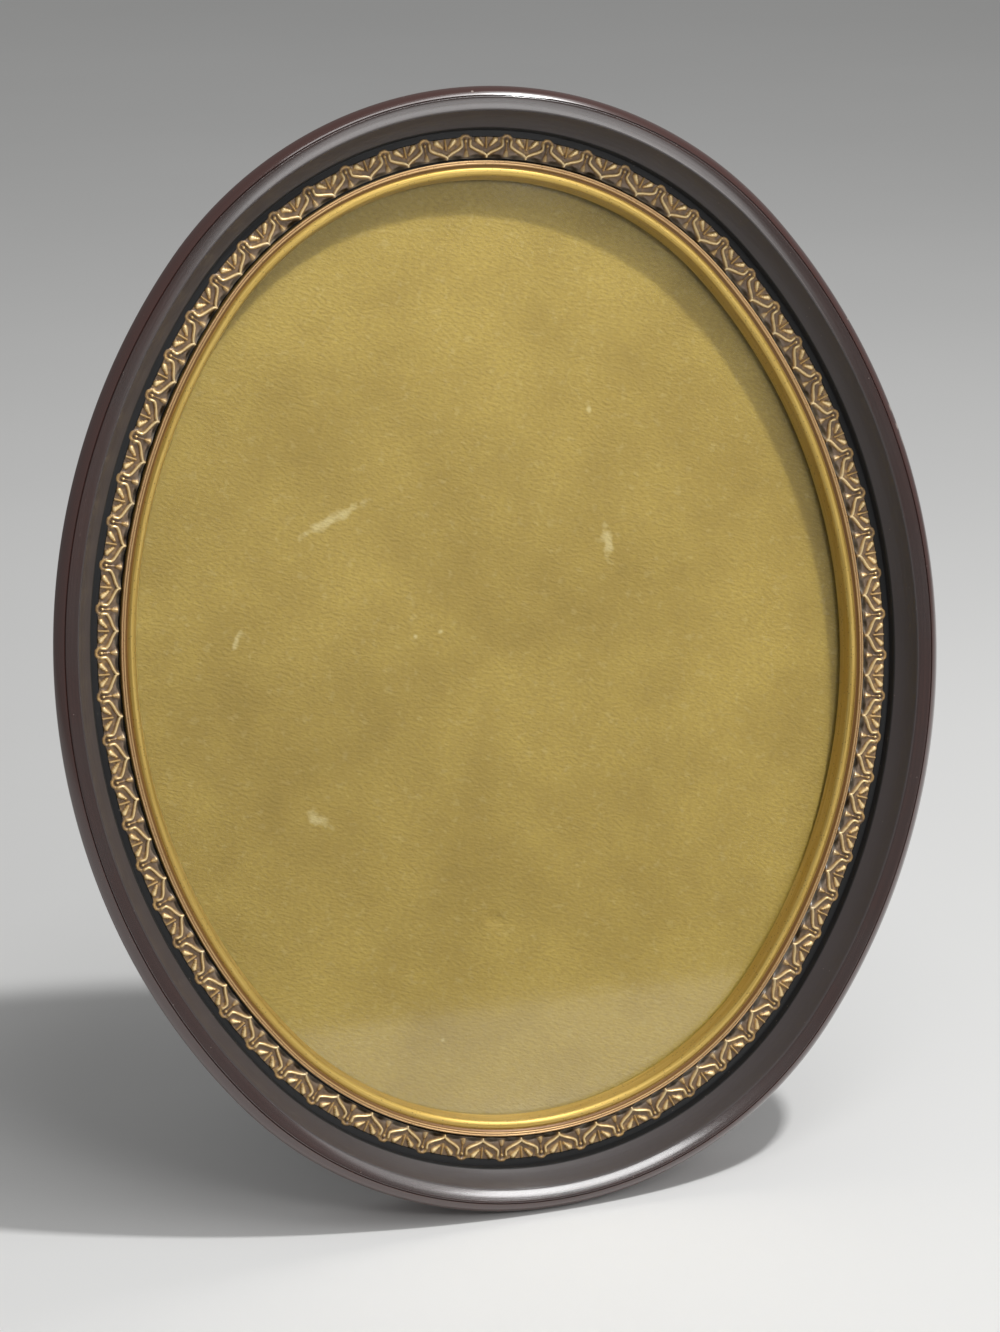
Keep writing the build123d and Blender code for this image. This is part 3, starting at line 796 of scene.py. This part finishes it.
mahogany = mahogany_finish()
antique_gilt = antique_gilt_finish()
liner_gilt = liner_gilt_finish()
leatherette = leatherette_finish()
clear_glass = clear_glass_finish()
velour = velour_finish()
hinge_brass = metal_finish("hinge_brass", (0.74, 0.53, 0.22), (0.46, 0.31, 0.12), 0.28, 90.0)
hanger_brass = metal_finish("hanger_brass", (0.78, 0.57, 0.25), (0.52, 0.36, 0.15), 0.24, 140.0)
rivet_brass = metal_finish("rivet_brass", (0.80, 0.60, 0.28), (0.55, 0.38, 0.16), 0.22, 200.0)
plated_steel = metal_finish("plated_steel", (0.60, 0.60, 0.58), (0.40, 0.39, 0.37), 0.26, 160.0)
grey_board = board_finish()
pale_floor = floor_finish()


# Pieces
def add_object(name, mesh):
    """An object in the scene with the given mesh."""
    piece = bpy.data.objects.new(name, mesh)
    bpy.context.scene.collection.objects.link(piece)
    return piece


def dress(piece, node, body):
    """Hang a finished piece on its body in place of its CAD node."""
    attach(piece, body)
    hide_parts(node)


def made_plain(maker):
    """The finished mesh of an object with a modifier. The object itself is removed."""
    evaluated = maker.evaluated_get(bpy.context.evaluated_depsgraph_get())
    mesh = bpy.data.meshes.new_from_object(evaluated)
    bpy.data.objects.remove(maker)
    return mesh


def shade(mesh):
    """Shade a mesh smooth, with its sharp edges kept."""
    mesh.shade_smooth()
    mesh.set_sharp_from_angle(angle=smooth_angle)


def face_out(mesh):
    """Turn the faces of a closed mesh outwards and shade it."""
    shell = bmesh.new()
    shell.from_mesh(mesh)
    bmesh.ops.recalc_face_normals(shell, faces=shell.faces)
    shell.to_mesh(mesh)
    shell.free()
    shade(mesh)


def grow(name, mesh, tree, place=stand, **inputs):
    """Run a tree on a mesh and keep the result as a plain mesh in its place on the standing frame."""
    maker = add_object(name + "_maker", mesh)
    modifier = maker.modifiers.new(tree.name, "NODES")
    modifier.node_group = tree
    for socket in tree.interface.items_tree:
        if socket.in_out == "INPUT" and socket.name in inputs:
            modifier[socket.identifier] = inputs[socket.name]
    grown = made_plain(maker)
    grown.name = name
    grown.transform(place)
    face_out(grown)
    return add_object(name, grown)


def bow(start, end, sag):
    """Points from start to end along an arc that stands off its chord by sag, to the left of the way."""
    start, way = Vector(start), Vector(end) - Vector(start)
    side = Vector((-way.y, way.x)).normalized()
    radius = (way.length_squared / 4 + sag**2) / (2 * abs(sag))
    points = []
    for step in range(bow_steps + 1):
        share = step / bow_steps
        off = way.length * (share - 0.5)
        rise = sqrt(radius**2 - off**2) - (radius - abs(sag))
        points.append(start + way * share + side * copysign(rise, sag))
    return points


def turn(centre, radius, start, end):
    """Points on a round of the section, from one angle to another. Angle 0 faces out of the frame."""
    across, up = centre
    angles = [start + (end - start) * step / bow_steps for step in range(bow_steps + 1)]
    return [Vector((across - radius * cos(angle), up + radius * sin(angle))) for angle in angles]


def ease(before, corner, after, radius):
    """Points that round off a corner between its two neighbours."""
    before, corner, after = Vector(before), Vector(corner), Vector(after)
    start = corner + (before - corner).normalized() * min(radius, (before - corner).length / 2)
    end = corner + (after - corner).normalized() * min(radius, (after - corner).length / 2)
    shares = [step / round_steps for step in range(round_steps + 1)]
    return [start * (1 - s) ** 2 + corner * 2 * s * (1 - s) + end * s**2 for s in shares]


def run_mesh(name, vertices, faces, tones, uvs):
    """A mesh with the tones of its points and a map of its run."""
    mesh = bpy.data.meshes.new(name)
    mesh.from_pydata(vertices, [], faces)
    mesh.attributes.new("tone", "FLOAT", "POINT").data.foreach_set("value", tones)
    mesh.uv_layers.new(name="run").data.foreach_set("uv", np.ravel(uvs))
    return mesh


def straight_run(name, section, steps):
    """A closed section of (point, tone) drawn out along X as shares of the run, with UVs in metres."""
    points = [point for point, tone in section]
    tones = [tone for point, tone in section]
    lengths = [0.0]
    for index, point in enumerate(points):
        lengths.append(lengths[-1] + (points[(index + 1) % len(points)] - point).length)
    count = len(points)
    vertices = [(step / steps, point.x, point.y) for step in range(steps + 1) for point in points]
    faces = []
    uvs = []
    for step in range(steps):
        for index in range(count):
            after = (index + 1) % count
            row, next_row = step * count, (step + 1) * count
            faces.append((row + index, next_row + index, next_row + after, row + after))
            run, next_run = even_run * step / steps, even_run * (step + 1) / steps
            low, high = lengths[index], lengths[index + 1]
            uvs += [(run, low), (next_run, low), (next_run, high), (run, high)]
    return run_mesh(name, vertices, faces, tones * (steps + 1), uvs)


def with_tone(points, tone):
    """Points of a section, each with the tone of its stretch."""
    return [(Vector(point), tone) for point in points]


def moulding_section():
    """Closed section of the moulding. The tones are those of the rim, land, cove and channel."""
    foot = (side_taper, -rebate_depth)
    rim = bow((0, rim_foot_height), (rim_width, rim_height), rim_bulge)
    quirk = (quirk_inset, quirk_height)
    land = bow((land_inset, land_height), (ridge_inset, ridge_height), land_crown)
    cove = bow((ridge_inset, ridge_height), (arris_inset, arris_height), -cove_scoop)
    channel = (channel_inset, channel_height)
    edge = ornament_inset - bond_gap
    on_rim = [foot, *ease(foot, rim[0], rim[1], crisp_edge), *rim[2:]]
    on_land = [quirk, *ease(quirk, land[0], land[1], crisp_edge), *land[2:-2]]
    on_cove = ease(land[-3], land[-1], cove[3], ridge_edge) + cove[3:-1]
    black = ease(cove[-2], cove[-1], channel, crisp_edge)
    black += [channel, (edge, channel_height), (edge, ledge_height), (ledge_inset, ledge_height)]
    hidden = [(ledge_inset, 0), (rebate_inset, 0), (rebate_inset, -rebate_depth)]
    tones = ((on_rim, rim_tone), (on_land, land_tone), (on_cove, cove_tone), (black, channel_tone))
    return [place for points, tone in (*tones, (hidden, land_tone)) for place in with_tone(points, tone)]


def liner_section():
    """Closed section of the liner. Tone 1 is the brown valley, 0 the gilding."""
    bead = []
    for step in (1, 3):
        middle = (liner_inset + step * liner_bead_radius, liner_bead_height - liner_bead_radius)
        bead += turn(middle, liner_bead_radius, 0, pi)
    valley = bow(bead[-1], (valley_inset, valley_height), -valley_dip)
    torus = bow((valley_inset, valley_height), (torus_inset, torus_height), torus_bulge)
    torus += bow((torus_inset, torus_height), (sight_inset, 0), -sight_hollow)[1:]
    seat = ledge_inset + bond_gap
    foot = [(seat, 0), (seat, ledge_height), (liner_inset, ledge_height)]
    return with_tone(bead, 0) + with_tone(valley[1:-1], 1) + with_tone(torus, 0) + with_tone(foot, 0)


def ridge(across, down, start, end, radius, end_radius):
    """Height share of a rounded ridge along a straight line, from one half width to another."""
    way_across, way_down = end[0] - start[0], end[1] - start[1]
    along = (across - start[0]) * way_across + (down - start[1]) * way_down
    share = np.clip(along / (way_across**2 + way_down**2), 0, 1)
    distance = np.hypot(across - start[0] - share * way_across, down - start[1] - share * way_down)
    return np.sqrt(np.clip(1 - (distance / (radius + (end_radius - radius) * share)) ** 2, 0, 1))


half_pitch = even_run / leaf_count / 2
arch_radius = half_pitch - leaf_foot
arch_depth = arch_top + arch_radius


def leaf_half_width(share):
    """Half width of the leaf at a share of the way from the outer edge to the sight edge."""
    upper = np.clip(share / leaf_side_share, 0, 1)
    sweep = np.clip((share - leaf_side_share) / (leaf_tip_share - leaf_side_share), 0, 1)
    straight = leaf_foot + (leaf_side - leaf_foot) * np.sin(pi / 2 * upper)
    return straight * (1 - sweep**2) ** leaf_sweep


def leaf_lines():
    """Raised lines of half a leaf: its side, swept in to the tip, and the arch over to the next leaf."""
    shares = np.linspace(arch_depth / ornament_width, leaf_tip_share, leaf_line_points)
    side = [(leaf_half_width(share), share * ornament_width) for share in shares]
    turns = np.linspace(0, pi / 2, arch_points)
    arch = [(half_pitch - arch_radius * sin(a), arch_depth - arch_radius * cos(a)) for a in turns]
    return ((side, 1), (arch, arch_relief_share))


def leaf_columns(share):
    """A row of points across the leaf, close together on its raised line at each side."""
    step = 0.5 / leaf_rows
    half = max(leaf_half_width(share), leaf_tip_line_share * leaf_line)
    slope = (leaf_half_width(share + step) - leaf_half_width(share - step)) / (2 * step * ornament_width)
    line = min(leaf_line * hypot(1, slope), 2 * leaf_line)
    inner = max(half - line, leaf_inner_share * half)
    columns = list(np.linspace(0, inner, leaf_inner_count))
    columns += [(inner + half) / 2, half, half + line / 2]
    columns += list(np.linspace(half + line, half_pitch, leaf_outer_count + 1))
    return [-column for column in reversed(columns[1:])] + columns


def leaf_relief_at(side, down):
    """Relief from 0 to 1 at points beside the leaf's middle line, below 0 in the scallops."""
    half = leaf_half_width(down / ornament_width)
    dart_start = (half_pitch, dart_start_share * ornament_width)
    dart_end = (half_pitch, dart_end_share * ornament_width)
    bud = (half_pitch, arch_depth)
    bud_end = (half_pitch, arch_depth + bud_radius / 2)
    ridges = [
        (fan_relief_share, fan_rib_start, fan_rib_end, fan_rib_radius, fan_rib_radius),
        (fan_relief_share, petal_start, petal_end, petal_radius, petal_tip_radius),
        (fan_relief_share, bud, bud_end, bud_radius, bud_radius),
        (stem_relief_share, bud_end, dart_start, stem_radius, stem_radius),
        (fan_relief_share, dart_start, dart_end, dart_radius, dart_tip_radius),
    ]
    for path, relief_share in leaf_lines():
        ridges += [(relief_share, *ends, leaf_line, leaf_line) for ends in zip(path, path[1:])]
    relief = np.where(side < half, leaf_body_share, 0)
    for relief_share, *line in ridges:
        relief = np.maximum(relief, relief_share * ridge(side, down, *line))
    scallop = np.hypot((side - half_pitch / 2) / scallop_width, (down - ornament_width) / scallop_depth)
    return relief - scallop_drop_share * np.clip(1 - scallop**2, 0, 1)


def leaf_mesh():
    """One leaf of the border with half a dart at each side, as a closed section across the band."""
    shares = np.linspace(0, 1, leaf_rows + 1)[:, None]
    across = np.array([leaf_columns(share) for share in shares[:, 0]])
    down = np.broadcast_to(shares * ornament_width, across.shape)
    side = np.abs(across)
    arch = np.sqrt(np.clip(1 - ((half_pitch - side) / (arch_radius + leaf_line)) ** 2, 0, 1))
    down = down - arch_bulge * arch * np.clip(1 - down / arch_bulge_reach, 0, 1)
    relief = leaf_relief_at(side, down)
    ground = band_outer_height + (band_inner_height - band_outer_height) * shares
    height = ground + leaf_relief * relief
    gilding = relief + leaf_gilding_share * (side < leaf_half_width(down / ornament_width))
    base = np.full((1, across.shape[1]), ledge_height)
    across = np.vstack((across[:1], across, across[-1:]))
    down = np.vstack((down[:1], down, down[-1:]))
    height = np.vstack((base, height, base))
    tones = np.vstack((0 * base, gilding, 0 * base))
    rows, columns = across.shape
    vertices = np.stack((across / even_run, ornament_inset + down, height), axis=-1).reshape(-1, 3)
    faces = []
    uvs = []
    for row in range(rows):
        after = (row + 1) % rows
        for column in range(columns - 1):
            corners = [(row, column), (row, column + 1), (after, column + 1), (after, column)]
            faces.append([corner_row * columns + corner for corner_row, corner in corners])
            uvs += [(across[corner] + half_pitch, down[corner]) for corner in corners]
    return run_mesh("leaf", vertices.tolist(), faces, tones.ravel(), uvs)


def stitched(name, rings):
    """A closed mesh from rings of equal length, with each end ring drawn in to its middle."""
    count = len(rings[0])
    vertices = [Vector(point) for ring in rings for point in ring]
    faces = []
    for row in range(len(rings) - 1):
        for step in range(count):
            after = (step + 1) % count
            here, there = row * count, (row + 1) * count
            faces.append((here + step, here + after, there + after, there + step))
    for first in (0, (len(rings) - 1) * count):
        middle = sum(vertices[first : first + count], Vector()) / count
        faces += [(first + step, first + (step + 1) % count, len(vertices)) for step in range(count)]
        vertices.append(middle)
    mesh = bpy.data.meshes.new(name)
    mesh.from_pydata(vertices, [], faces)
    return mesh


def oval_plate(name, depth, thickness, edge, material, sink):
    """An oval board behind the glass with a rounded edge. sink(across, up) draws its front face back."""
    rim = [oval_point(step / plate_steps, glazing_inset + edge) for step in range(plate_steps)]
    shares = [(ring + 0.5) / plate_rings for ring in range(plate_rings)]
    rings = []
    for share in shares + [1]:
        ring = [(point.x * share, point.y * share, -depth - sink(*(point * share))) for point in rim]
        rings.append(ring)
    for step in range(1, 2 * round_steps):
        angle = pi / 2 - pi * step / (2 * round_steps)
        inset = glazing_inset + edge - edge * cos(angle)
        height = (thickness / 2 - edge) * copysign(1, angle) + edge * sin(angle)
        around = [oval_point(at / plate_steps, inset) for at in range(plate_steps)]
        rings.append([(point.x, point.y, -depth - thickness / 2 + height) for point in around])
    for share in [1] + shares[::-back_ring_step]:
        rings.append([(point.x * share, point.y * share, -depth - thickness) for point in rim])
    mesh = stitched(name, rings)
    mesh.materials.append(material)
    corners = [mesh.vertices[loop.vertex_index].co[:2] for loop in mesh.loops]
    mesh.uv_layers.new(name="face").data.foreach_set("uv", np.ravel(corners))
    mesh.transform(stand)
    face_out(mesh)
    return add_object(name, mesh)


def flat(across, up):
    """The front of a flat board, which falls back nowhere."""
    return 0


def card_sink(across, up):
    """How far the card falls back from the glass: slow waves, and one shallow dent."""
    across_sway, up_sway = card_sway_shares
    waves = sin(across / card_wave_across + across_sway * sin(up / card_sway_up))
    waves += sin(up / card_wave_up + up_sway * sin(across / card_sway_across) + card_wave_phase)
    dent = hypot((across - dent_place[0]) / dent_size[0], (up - dent_place[1]) / dent_size[1])
    return card_wave * (1 + waves / 2) + dent_depth * max(1 - dent**2, 0) ** 2


def eased(name, node, material, width, segments=2):
    """A copy of a CAD node with its sharp edges rounded off and its round faces smooth."""
    mesh = nodes[node].data.copy()
    mesh.name = name
    if "custom_normal" in mesh.attributes:
        mesh.attributes.remove(mesh.attributes["custom_normal"])
    shell = bmesh.new()
    shell.from_mesh(mesh)
    bmesh.ops.remove_doubles(shell, verts=shell.verts, dist=merge_distance)
    bmesh.ops.dissolve_limit(shell, angle_limit=flat_angle, verts=shell.verts, edges=shell.edges)
    if width:
        sharp = [edge for edge in shell.edges if edge.is_manifold and edge.calc_face_angle() > edge_angle]
        bmesh.ops.bevel(
            shell,
            geom=sharp,
            offset=width,
            segments=segments,
            profile=0.5,
            affect="EDGES",
            clamp_overlap=True,
        )
    bmesh.ops.triangulate(shell, faces=[face for face in shell.faces if len(face.verts) > 4])
    shell.to_mesh(mesh)
    shell.free()
    mesh.materials.clear()
    mesh.materials.append(material)
    shade(mesh)
    return add_object(name, mesh)


def dome(name, radius, height, rim):
    """A domed fastener head that stands back from Z = 0, with a straight rim under its dome."""
    outline = [(radius, 0), (radius, -rim)]
    for step in range(1, dome_steps):
        angle = pi / 2 * step / dome_steps
        outline.append((radius * cos(angle), -rim - (height - rim) * sin(angle)))
    rings = []
    for reach, depth in outline:
        turns = [2 * pi * step / head_steps for step in range(head_steps)]
        rings.append([(reach * cos(turn_angle), reach * sin(turn_angle), depth) for turn_angle in turns])
    mesh = stitched(name, rings)
    face_out(mesh)
    return add_object(name, mesh)


def slotted_screw():
    """A screw head with a straight driver slot across its dome."""
    head = dome("screw_head", screw_head_radius, screw_head_height, screw_head_height * screw_rim_share)
    box = bmesh.new()
    bmesh.ops.create_cube(box, size=1)
    slot_height = -screw_head_height
    sizes = (3 * screw_head_radius, screw_slot_width, 2 * screw_slot_depth)
    box.transform(Matrix.Translation((0, 0, slot_height)) @ Matrix.Diagonal((*sizes, 1)))
    slot_mesh = bpy.data.meshes.new("screw_slot")
    box.to_mesh(slot_mesh)
    box.free()
    slot = add_object("screw_slot", slot_mesh)
    cut = head.modifiers.new("slot", "BOOLEAN")
    cut.operation = "DIFFERENCE"
    cut.object = slot
    slotted = made_plain(head)
    bpy.data.objects.remove(slot)
    return add_object("slotted_screw", slotted)


def set_on(name, points, head, finish, place=stand):
    """A piece with one fastener head on each point."""
    mesh = bpy.data.meshes.new(name + "_points")
    mesh.from_pydata(points, [], [])
    return grow(name, mesh, heads_tree, place, Head=head, Material=finish)


def rivet_pair(spacing, up, depth):
    """Points for two rivets, one at each side of the middle."""
    return [(side * spacing / 2, up, -depth) for side in (-1, 1)]


# The mahogany moulding, its leaf border and the gilt liner, laid round the oval
moulding_run = straight_run("moulding_run", moulding_section(), run_steps)
moulding = grow("mahogany_moulding", moulding_run, swept_tree, Material=mahogany)
dress(moulding, "moulding", "frame")
leaves = grow("leaf_and_dart_border", leaf_mesh(), border_tree, Material=antique_gilt)
dress(leaves, "ornament_band", "frame")
liner_run = straight_run("liner_run", liner_section(), run_steps)
liner = grow("sight_liner", liner_run, swept_tree, Material=liner_gilt)
dress(liner, "gilt_liner", "frame")

# Glass, card and boards
card_depth = glass_thickness
filler_depth = card_depth + card_thickness
panel_depth = filler_depth + filler_thickness
panel_back = panel_depth + panel_thickness
for node, finish in (("glass_pane", clear_glass), ("filler_board", grey_board)):
    nodes[node].data.materials.clear()
    nodes[node].data.materials.append(finish)
card = oval_plate("leatherette_card", card_depth, card_thickness, card_edge, leatherette, card_sink)
dress(card, "gold_card", "frame")
panel = oval_plate("velour_back", panel_depth, panel_thickness, panel_edge, velour, flat)
dress(panel, "back_panel", "frame")

# Strut, hinge, turn buttons and hanger
dress(eased("velour_strut", "strut", velour, strut_ease, 4), "strut", "strut")
fittings = (
    ("hinge_leaf_on_panel", "hinge_panel_leaf", "frame", hinge_brass, plate_ease, "hinge_brass"),
    ("hinge_leaf_on_strut", "hinge_strut_leaf", "strut", hinge_brass, plate_ease, "hinge_brass"),
    ("pin_of_hinge", "hinge_pin", "frame", hinge_brass, 0, "hinge_brass"),
    ("strap_of_hanger", "hanger_strap", "frame", hanger_brass, plate_ease, "hanger_brass"),
    ("ring_of_hanger", "hanger_ring", "hanger_ring", hanger_brass, 0, "hanger_brass"),
)
for name, node, body, finish, edge, slot in fittings:
    dress(eased(name, node, finish, edge), node, body)
buttons = [name for name in nodes if name.startswith("turn_button")]
for button in buttons:
    dress(eased(button + "_blade", button, plated_steel, plate_ease, 3), button, button)

# Screws and rivets
screw_points = []
for button in buttons:
    pivot = stand.inverted() @ Vector(joints[button + "_swivel"]["pos_m"])
    screw_points.append((pivot.x, pivot.y, -rebate_depth - button_stack))
screw_points.append((0, half_height - hanger_screw_inset, -rebate_depth - hanger_thickness))
screw = slotted_screw()
screws = set_on("slotted_screws", screw_points, screw, plated_steel)
dress(screws, "back_screws", "frame")
bpy.data.objects.remove(screw)

hinge = joints["strut_hinge"]
hinge_place = Vector(hinge["pos_m"])
hinge_up = (stand.inverted() @ hinge_place).y
strut_open = radians(max(hinge["range_deg"]))
strut_stand = Matrix.Translation(hinge_place) @ turned_up @ Matrix.Rotation(strut_open, 4, "X")
rivet = dome("rivet_head", rivet_head_radius, rivet_head_height, rivet_head_height * rivet_rim_share)
panel_pair = rivet_pair(panel_rivet_spacing, hinge_up + panel_rivet_rise, panel_back + hinge_leaf_thickness)
strut_pair = rivet_pair(strut_rivet_spacing, -strut_rivet_fall, strut_rear + hinge_leaf_thickness)
on_panel = set_on("rivets_on_panel", panel_pair, rivet, rivet_brass)
dress(on_panel, "panel_leaf_rivets", "frame")
on_strut = set_on("rivets_on_strut", strut_pair, rivet, rivet_brass, strut_stand)
dress(on_strut, "strut_leaf_rivets", "strut")
bpy.data.objects.remove(rivet)

# Floor, light and camera
floor_mesh = bpy.data.meshes.new("floor")
floor_corners = [(x * floor_reach, y * floor_reach, 0) for x, y in ((-1, -1), (1, -1), (1, 1), (-1, 1))]
floor_mesh.from_pydata(floor_corners, [], [(0, 1, 2, 3)])
floor_mesh.materials.append(pale_floor)
floor = add_object("floor", floor_mesh)

world = bpy.data.worlds.new("studio")
bpy.context.scene.world = world
world.use_nodes = True
sky = world.node_tree.nodes["Background"]
sky.inputs["Color"].default_value = (1, 1, 1, 1)
sky.inputs["Strength"].default_value = sky_strength


def softbox(name, place, aim, size, watts):
    """A flat lamp at a place, turned to the point that it lights."""
    lamp = bpy.data.lights.new(name, "AREA")
    lamp.shape = "RECTANGLE"
    lamp.size, lamp.size_y = size
    lamp.energy = watts
    light = bpy.data.objects.new(name, lamp)
    light.location = place
    light.rotation_euler = (Vector(aim) - Vector(place)).to_track_quat("-Z", "Y").to_euler()
    bpy.context.scene.collection.objects.link(light)
    return light


frame_middle = stand.translation
for name, (place, size, watts) in lamps.items():
    softbox(name, frame_middle + Vector(place), frame_middle, size, watts)
for name, (place, aim, size, watts) in mirrored_sheets.items():
    sheet = softbox(name, place, aim, size, watts)
    sheet.visible_diffuse = False
    sheet.visible_camera = False

camera_data = bpy.data.cameras.new("camera")
camera_data.sensor_fit = "HORIZONTAL"
camera_data.lens = camera_data.sensor_width * focal_pixels / image_width
camera = bpy.data.objects.new("camera", camera_data)
to_camera = Matrix.Translation((view_side, view_rise, -view_distance)) @ Matrix.Rotation(view_roll, 4, "Z")
to_camera = to_camera @ Matrix.Rotation(view_tilt, 4, "X") @ Matrix.Rotation(view_turn, 4, "Y")
camera.matrix_world = stand @ to_camera.inverted()
bpy.context.scene.collection.objects.link(camera)
bpy.context.scene.camera = camera
bpy.context.scene.view_settings.view_transform = "Standard"

# Bring the scene up to date
bpy.context.view_layer.update()
